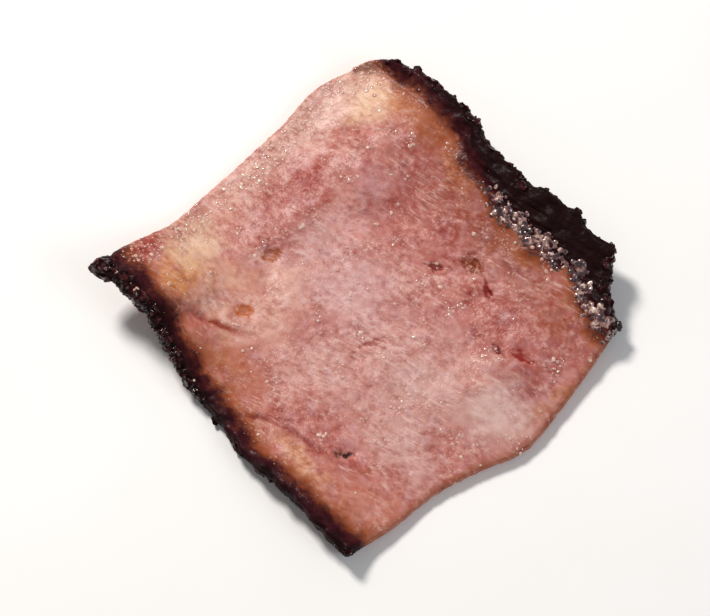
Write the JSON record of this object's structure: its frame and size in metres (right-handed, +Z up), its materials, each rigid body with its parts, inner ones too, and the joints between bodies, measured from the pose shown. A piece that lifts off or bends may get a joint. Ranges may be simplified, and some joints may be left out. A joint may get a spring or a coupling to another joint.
{
  "type": "slice of cooked chicken bacon",
  "caption": "Thin, roughly square slice of cooked chicken bacon, curled up along its two charred rims and at one corner, lying flat in the middle.",
  "frame": {"origin": "on the surface that the slice lies on, under the middle of its bounding box", "axes": "+Z up, out of the shown side; +X along the two charred rims; +Y across the slice, from the thin rim to the thick one"},
  "size_m": [0.0762, 0.074, 0.0135],
  "materials": {
    "cooked_meat": "moist, mottled pink lean meat with golden brown edges",
    "charred_crust": "glossy black and purple-brown crust, rough and crumbly"
  },
  "bodies": {
    "root": {"bacon_slice": "cooked_meat"}
  },
  "joints": []
}
